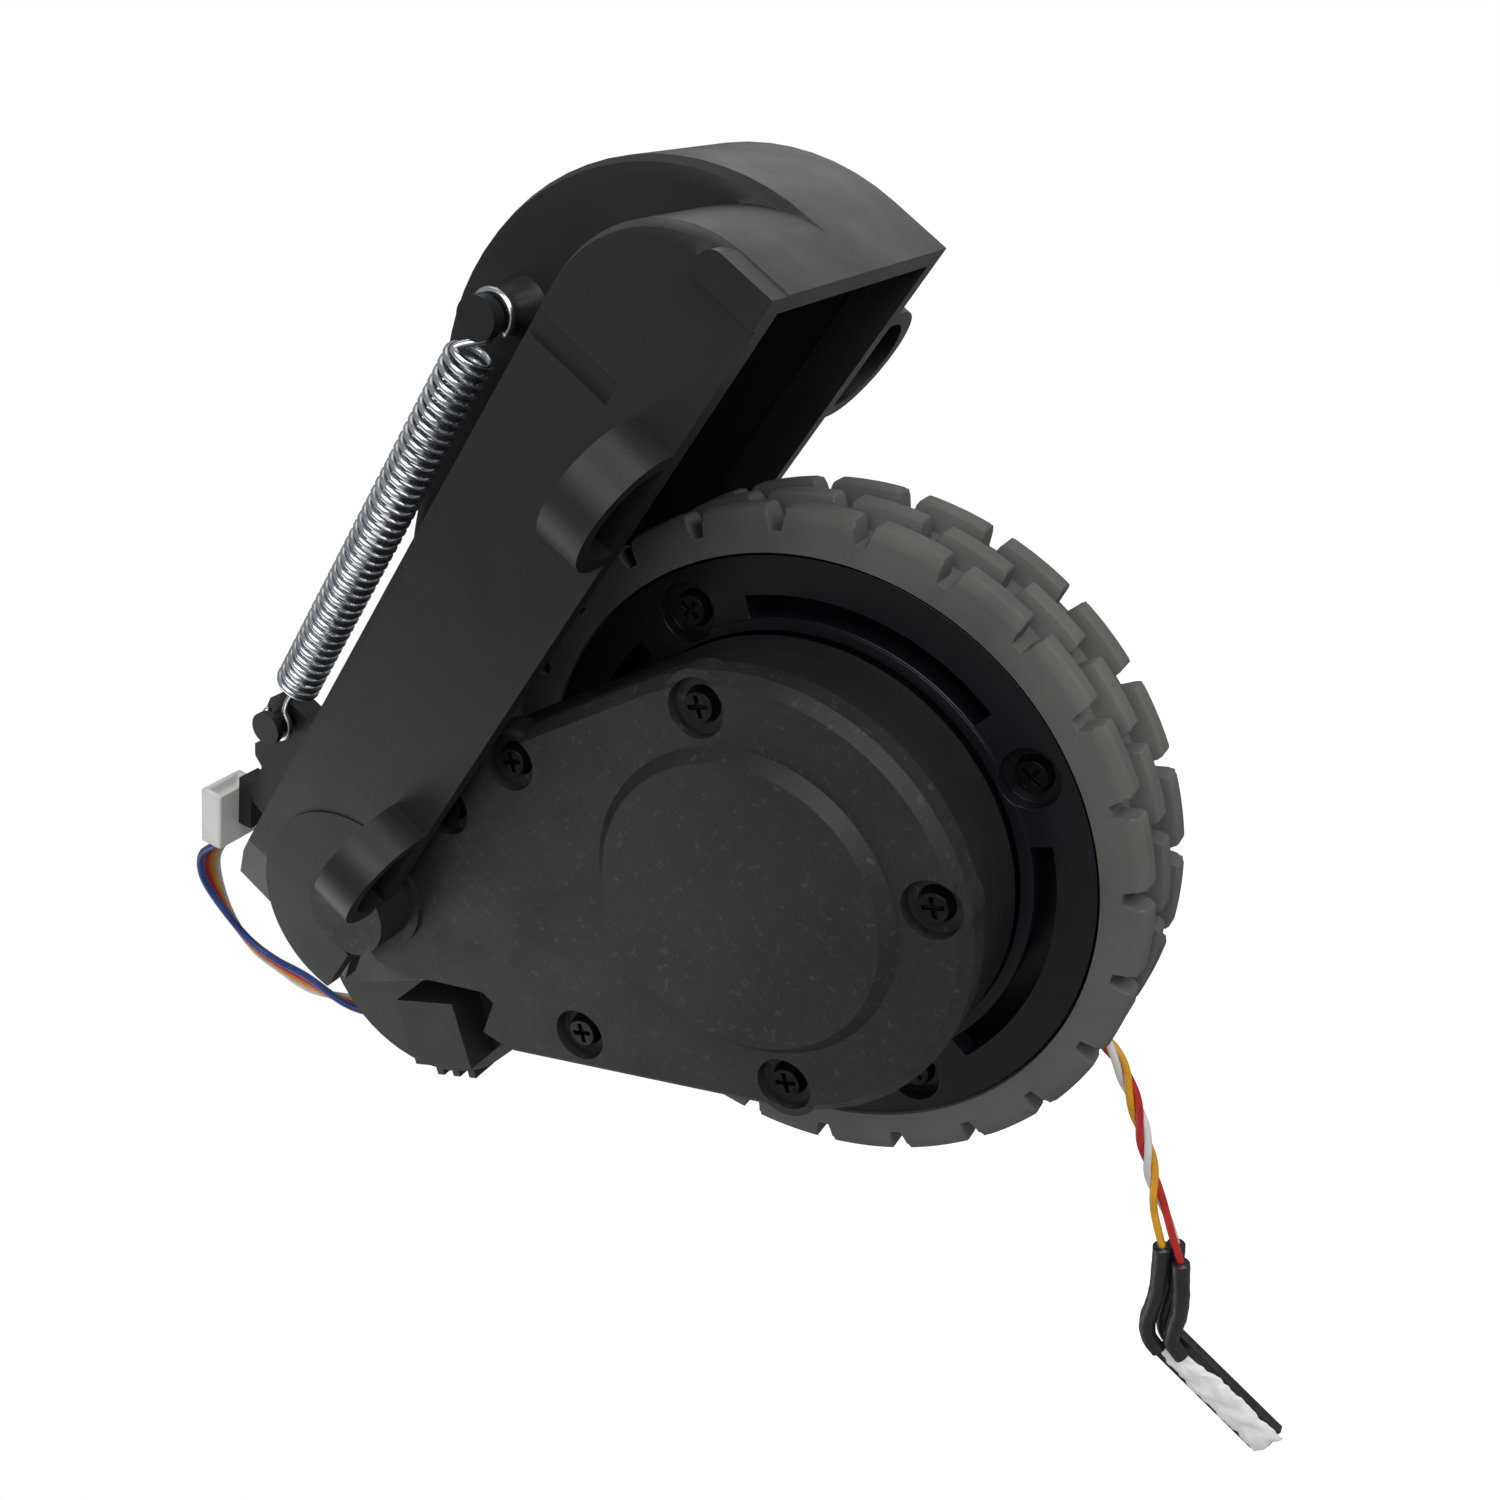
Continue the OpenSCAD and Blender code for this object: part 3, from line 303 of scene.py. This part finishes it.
# Every node's finish. Pieces made below take the place of some nodes
nodeFinish = {
    "fender": "fenderBlack", "gearbox_cover": "coverBlack", "gearbox_body": "caseBlack",
    "cover_screws": "screwBlack", "motor_can": "brightSteel", "motor_magnets": "ferrite",
    "motor_end_cap": "whiteNylon", "motor_rotor": "windings", "motor_pinion": "brassCut",
    "motor_cap": "caseBlack", "first_gear": "acetal", "second_gear": "acetal",
    "gear_pins": "brightSteel", "output_gear": "acetal", "output_shaft": "brightSteel",
    "near_bush": "sinteredBronze", "far_bush": "sinteredBronze", "wheel_hub": "hubBlack",
    "hub_cap": "hubBlack", "hub_screws": "screwBlack", "shaft_clip": "brightSteel",
    "tyre": "treadRubber", "tension_spring": "zincWire", "connector": "whiteNylon",
    "wire_blue": "blueWire", "wire_red": "redWire", "wire_yellow": "yellowWire",
    "wire_white": "whiteWire", "sensor_lead": "yellowWire", "shrink_tubes": "shrinkBlack",
    "sensor_strip": "shrinkBlack", "strip_sealant": "whiteSealant",
}
for node, finish in nodeFinish.items():
    paint(nodes[node], finish)
print("finishes made")

# leads
# Four loose wires from the motor to the plug in the horn's cradle
motorLead = {
    "points": [(-55.8, 14.2, 21.22), (-59.4, 14.2, 22.4), (-63, 14.3, 21.4), (-66.6, 14.8, 17.6),
        (-68.7, 15.4, 12.6), (-68.6, 16, 8.2), (-67, 16.2, 3.6), (-64.6, 16.6, -1.8), (-61.8, 18.6, -6.2),
        (-60, 22, -7.8), (-59.5, 27, -7.9), (-59.4, 30.6, -7.9), (-57.6, 32.9, -7.9), (-55.6, 32.6, -7.9),
        (-54.6, 31, -7.9)],
    # which way the four wires stand apart at each point
    "spread": [(0, 1, 0), (0, 1, 0), (-0.25, 0.95, 0.25), (-0.75, 0.7, 0), (-0.85, 0.5, -0.15),
        (-0.85, 0.5, -0.25), (-0.9, 0.4, -0.2), (-0.6, 0.5, 0.6), (-0.4, 0.4, 0.8), (0, 0, 1), (0, 0, 1),
        (0, 0, 1), (0, 0, 1), (0, 0, 1), (0, 0, 1)],
    "pitch": 1.2,
    "radius": 0.45,
    "wires": [("wire_blue", "blueWire"), ("wire_red", "redWire"), ("wire_yellow", "yellowWire"),
        ("wire_white", "whiteWire")],
    "plugRounding": 0.00025,
}


def motorWires(o):
    plug = roundedCopy("connector", o["plugRounding"])
    paint(plug, "whiteNylon")
    base, spread = np.array(o["points"], float), np.array(o["spread"], float)
    for i, (node, finish) in enumerate(o["wires"]):
        path = smoothPath(base + (i - 1.5) * o["pitch"] * spread, 8)[::-1] * mm
        wire = sweep(node + "Soft", path, o["radius"] * mm, 12)
        paint(wire, finish)
        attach(wire, "arm")
        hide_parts(node)


# Three wires twisted together, each ending in its own shrink tube on the flat strip
sensorLead = {
    "points": [(-1.5, 34.8, 4), (-1.5, 37, 4), (-1.6, 39.2, 2.4), (-1.8, 40, -2), (-2.2, 40.2, -14),
        (-2.6, 40.2, -30), (-3.4, 40.2, -50), (-5.9, 40.2, -67.7), (-8.5, 40.2, -74), (-12.6, 40.2, -80),
        (-16.4, 40.2, -84.8), (-19.4, 40.2, -89)],
    "strandRadius": 0.44,
    "twistRadius": 0.5,
    "twistPitch": 13.0,
    "twistIn": 1.5,  # length over which the twist opens at the wall
    "fan": 9,  # length over which the strands part towards their tubes
    # name, finish, slot and which of the three places a strand and its tube take
    "strands": [("redStrand", "redWire", "red_insulation", 1),
        ("whiteStrand", "whiteWire", "white_insulation", 0),
        ("yellowStrand", "yellowWire", "yellow_insulation", -1)],
    "tubePoints": [(-20.2, 40.2, -90.9), (-25, 40.2, -94.8), (-28.6, 40.2, -96.8), (-30.3, 40.2, -98.2)],
    "tubeSpread": [(0.1, 0, -1.3), (0.4, 0, -1.4), (0.8, 0, -1.3), (0.9, 0, -1)],
    "tubeLift": 1,  # the middle tube lies behind the other two by twice this
    "tubeTip": [(-0.5, 0, -2), (-0.5, 0, -1)],  # last stretch on to the strip, of outer and middle tubes
    "tubeRadius": 1.05,
}


def sensorWires(o):
    # Each strand is a helix about the lead's path, blended into its own straight run near the tubes.
    base = smoothPath(o["points"], 14)
    t, n, b = frames(base)
    s = np.r_[0, np.cumsum(np.linalg.norm(np.diff(base, axis=0), axis=1))]
    share = np.clip((s - s[-1] + o["fan"]) / o["fan"], 0, 1)[:, None]
    share = share ** 2 * (3 - 2 * share)
    ring = o["twistRadius"] * np.minimum(1, s / o["twistIn"])[:, None]
    tubes, strands = [], []
    for name, finish, slot, k in o["strands"]:
        turn = 2 * math.pi * (s / o["twistPitch"] + k / 3)
        helix = base + ring * (np.cos(turn)[:, None] * n + np.sin(turn)[:, None] * b)
        middle = k == 0
        lift = (0, o["tubeLift"] if middle else -o["tubeLift"], 0)
        line = np.array(o["tubePoints"], float) + k * np.array(o["tubeSpread"], float) + lift
        path = (helix * (1 - share) + (line[0] + (base - base[-1])) * share) * mm
        strand = sweep(name, path, o["strandRadius"] * mm, 10)
        paint(strand, finish)
        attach(strand, "fender")
        strands.append((strand, path))
        tubePath = smoothPath(np.vstack([line, line[-1] + o["tubeTip"][middle]]), 16) * mm

        def wrinkles(s, angle):
            # thicker at the mouth, with slow ripples where the tube shrank unevenly
            ripples = np.sin(s * 2600 + 2 * angle) * np.sin(s * 900 + k)
            return 1 - 0.1 * np.clip(s / 0.012, 0, 1) + 0.035 * ripples

        tube = sweep("shrinkTube" + "ABC"[k + 1], tubePath, o["tubeRadius"] * mm, 16, wrinkles)
        paint(tube, "shrinkBlack")
        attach(tube, "fender")
        tubes.append(tube)
    for tube in tubes:
        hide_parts("shrink_tubes")
    for (strand, path), tube in zip(strands, tubes):
        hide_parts("sensor_lead")


motorWires(motorLead)
sensorWires(sensorLead)
print("leads made")

# sealant on the strip
sealant = {"x": (-33.5, -29.0), "z": (-115.5, -99.6), "y": 40.3, "thick": 0.62, "columns": 34, "rows": 90,
    "narrowFrom": 0.55, "narrowBy": 0.55, "lean": 0.22, "stripRounding": 0.0002}


def sealantPad(o):
    # A pad as high as 1 minus the fourth power of the distance from its middle line.
    # It narrows and leans over towards the tubes, and its edge and top are wavy sums of sines.
    u = np.linspace(-1, 1, o["columns"])[None, :]
    v = np.linspace(0, 1, o["rows"])[:, None]
    wave = 0.06 * np.sin(23 * v) + 0.04 * np.sin(51 * v + 1) + 0.03 * np.sin(87 * v)
    narrowing = np.clip((v - o["narrowFrom"]) / (1 - o["narrowFrom"]), 0, 1) ** 1.3
    half = 1 - o["narrowBy"] * narrowing + wave
    lean = -o["lean"] * np.clip(2 * v - 1, 0, 1)
    (left, right), (low, high) = o["x"], o["z"]
    x = (left + right) / 2 + (right - left) / 2 * np.clip(u * half * 0.94 + lean, -1, 1)
    z = np.clip(low + (high - low) * v + 0.25 * np.sin(5 * u + 9 * v), low, None)
    swell = np.clip(1 - np.abs(u) ** 4, 0, 1) * np.clip(1 - np.abs(2 * v - 1) ** 10, 0, 1)
    lumps = 0.75 + 0.18 * np.sin(27 * v + 2 * u) + 0.12 * np.sin(31 * v - 4 * u)
    front = np.stack([x, o["y"] - o["thick"] * swell * lumps, z], -1)
    back = np.stack([x, np.full_like(x, o["y"] + 0.02), z], -1)[:, ::-1]
    pad = gridMesh("sealantPad", np.concatenate([front, back], 1) * mm)
    paint(pad, "whiteSealant")
    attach(pad, "fender")
    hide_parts("strip_sealant")


sealantPad(sealant)
strip = roundedCopy("sensor_strip", sealant["stripRounding"])
paint(strip, "shrinkBlack")
print("sealant and strip made")

# spring
spring = {
    "coil": (20.0, -28.0),  # x at the post's end and at the pin's end
    "y": 13.0,
    "z": 22.0,
    "wire": 0.8,
    "outer": 5.0,
    "turns": 40,
    "post": (24.2, 22.0, 2.12),  # x, z and radius of the hook round the fender's post
    "pin": (-34.2, 22.0, 1.82),  # the same for the hook round the horn's pin
    "stretch": (0.0, -27.5),  # x between which the spring runs from the fender's side over to the arm's side
}


def tensionSpring(o):
    # Close helix along X with a round hook in the XZ plane at each end.
    r = (o["outer"] - o["wire"]) / 2
    first, last = o["coil"]
    a = np.linspace(0, 2 * math.pi * o["turns"], o["turns"] * 20 + 1)[4:-6]
    along = first + (last - first) * a / (2 * math.pi * o["turns"])
    coil = np.stack([along, o["y"] - r * np.sin(a), o["z"] + r * np.cos(a)], -1)

    def hook(c, a0, a1):
        g = np.radians(np.linspace(a0, a1, 30))
        return np.stack([c[0] + c[2] * np.cos(g), np.full(30, o["y"]), c[1] + c[2] * np.sin(g)], -1)

    def joinOn(a, b):
        # A cubic from the end of a to the start of b, leaving and arriving along them.
        p, q = a[-1], b[0]
        gap = np.linalg.norm(q - p)
        m0, m1 = (m / np.linalg.norm(m) * gap for m in (a[-1] - a[-2], b[1] - b[0]))
        t = np.linspace(0, 1, 16)[1:-1, None]
        over = 3 * t ** 2 - 2 * t ** 3
        return (1 - over) * p + over * q + (t ** 3 - 2 * t ** 2 + t) * m0 + (t ** 3 - t ** 2) * m1

    upper, lower = hook(o["post"], -110, 200), hook(o["pin"], -20, -290)
    path = np.vstack([upper, joinOn(upper, coil), coil, joinOn(coil, lower), lower]) * mm
    wire = sweep("coilSpring", path, o["wire"] / 2 * mm, 8)
    paint(wire, "zincWire")
    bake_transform(wire)
    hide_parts("tension_spring")


tensionSpring(spring)
print("spring made")

# tyre
tread = {
    "axle": (-0.795, -30.853),  # x and z
    "seat": 30.5,
    "radius": 34.98,
    "depth": 2.4,
    "blocks": 24,
    "turn": 4.0,
    "rowGap": 1.7,
    "blockGap": 1.25,
    # distance in from a block's edge, and the share of its height that it has there
    "edge": ((0, 0.3, 0.45, 0.62, 0.85), (0, 0.74, 0.9, 0.97, 1)),
    "shoulder": ((0, 0.12, 0.45, 0.9), (0.4, 0.62, 0.9, 1)),
    "sharp": 24,
}


def treadTyre(o):
    # Three rows of blocks as one surface in angle and width.
    # The height over the ground is the lower of two profiles, one across the rows and one round the tyre.
    width = [v.co.y / mm for v in nodes["tyre"].data.vertices]
    start, end = min(width), max(width)
    rowWidth = (end - start - 2 * o["rowGap"]) / 3
    across = []
    for row in range(3):
        a = start + row * (rowWidth + o["rowGap"])
        near = o["shoulder"] if row == 0 else o["edge"]
        far = o["shoulder"] if row == 2 else o["edge"]
        across += [(a + d, share, row) for d, share in zip(*near)]
        across += [(a + rowWidth - d, share, row) for d, share in list(zip(*far))[::-1]]
    pitch = 360 / o["blocks"]
    perMm = math.degrees(1 / o["radius"])
    marks = [side * (o["blockGap"] / 2 + d) * perMm for d in o["edge"][0] for side in (-1, 1)]
    marks.append(pitch / 4)
    turns = np.array(sorted({round((m + shift) % pitch, 5) for m in marks for shift in (0, pitch / 2)}))
    angles = (turns[None, :] + np.arange(o["blocks"])[:, None] * pitch).ravel()
    seat = np.full_like(angles, o["seat"])
    rings = [(seat, start)]
    for y, share, row in across:
        u = (angles - (pitch / 2 if row == 1 else 0)) % pitch  # the middle row is half a block ahead
        away = np.minimum(u, pitch - u) / perMm - o["blockGap"] / 2
        share = np.minimum(share, np.interp(away, *o["edge"]))
        rings.append((o["radius"] - o["depth"] * (1 - share), y))
    rings.append((seat, end))
    g = np.radians(angles + o["turn"])
    x0, z0 = o["axle"]
    points = np.stack([np.stack([x0 + r * np.cos(g), np.full_like(g, y), z0 - r * np.sin(g)], -1)
        for r, y in rings])
    tyre = gridMesh("treadTyre", points * mm, looped=True)
    tyre.data.set_sharp_from_angle(angle=math.radians(o["sharp"]))
    paint(tyre, "treadRubber")
    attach(tyre, "wheel")
    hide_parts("tyre")


treadTyre(tread)
print("tyre made")

# rounded mouldings
# Width of the rounding on each node's edges, in metres
rounded = {"fender": 0.0003, "gearbox_cover": 0.0002, "gearbox_body": 0.00022, "motor_cap": 0.0003,
    "wheel_hub": 0.0003, "hub_cap": 0.00022, "cover_screws": 0.00008, "hub_screws": 0.00008}
for node, width in rounded.items():
    paint(roundedCopy(node, width), nodeFinish[node])
print("mouldings rounded")

# floor and light
studio = {
    "floor": -150.0,
    "size": 6.0,
    "grey": 0.35,
    "rough": 0.9,
    "fill": 0.3,
    "centre": (0, 15, -20),
    # place, size in metres and power in watts
    "lights": {
        "above": ((230, 60, 330), 0.25, 0.1),
        "left": ((-340, -120, 60), 0.3, 0.3),
        "front": ((260, -400, 60), 0.35, 1.0),
        "behind": ((160, 380, 200), 0.3, 0.2),
        "right": ((400, -60, -40), 0.3, 0.9),
    },
}


def addFloor(o):
    # A floor that shines as white as the sky, so no edge shows between them.
    h, z = o["size"], o["floor"] * mm
    mesh = bpy.data.meshes.new("floor")
    mesh.from_pydata([(-h, -h, z), (h, -h, z), (h, h, z), (-h, h, z)], [], [(0, 1, 2, 3)])
    floor = bpy.data.objects.new("floor", mesh)
    bpy.context.scene.collection.objects.link(floor)
    pale = bpy.data.materials.new("paleFloor")
    pale.use_nodes = True
    shader = pale.node_tree.nodes["Principled BSDF"]
    shader.inputs["Base Color"].default_value = (o["grey"],) * 3 + (1,)
    shader.inputs["Roughness"].default_value = o["rough"]
    shader.inputs["Specular IOR Level"].default_value = 0
    shader.inputs["Emission Color"].default_value = (1, 1, 1, 1)
    shader.inputs["Emission Strength"].default_value = 1
    mesh.materials.append(pale)
    floor.visible_diffuse = False
    floor.visible_glossy = False


def addSky(o):
    # The camera sees plain white, but the sky lights the part only by its fill.
    world = bpy.data.worlds.new("studio")
    world.use_nodes = True
    tree = world.node_tree
    rays = tree.nodes.new("ShaderNodeLightPath")
    amount = tree.nodes.new("ShaderNodeMapRange")
    amount.inputs["To Min"].default_value, amount.inputs["To Max"].default_value = o["fill"], 1
    tree.links.new(rays.outputs["Is Camera Ray"], amount.inputs["Value"])
    background = tree.nodes["Background"]
    background.inputs["Color"].default_value = (1, 1, 1, 1)
    tree.links.new(amount.outputs["Result"], background.inputs["Strength"])
    bpy.context.scene.world = world


def addLights(o):
    for name, (place, size, power) in o["lights"].items():
        data = bpy.data.lights.new(name, "AREA")
        data.shape, data.size, data.energy = "DISK", size, power
        light = bpy.data.objects.new(name, data)
        light.location = Vector(place) * mm
        light.rotation_mode = "QUATERNION"
        light.rotation_quaternion = (Vector(o["centre"]) * mm - light.location).to_track_quat("-Z", "Y")
        bpy.context.scene.collection.objects.link(light)


addFloor(studio)
addSky(studio)
addLights(studio)
scene = bpy.context.scene
scene.view_settings.view_transform = "Standard"
scene.view_settings.look = "None"
print("floor and lights placed")
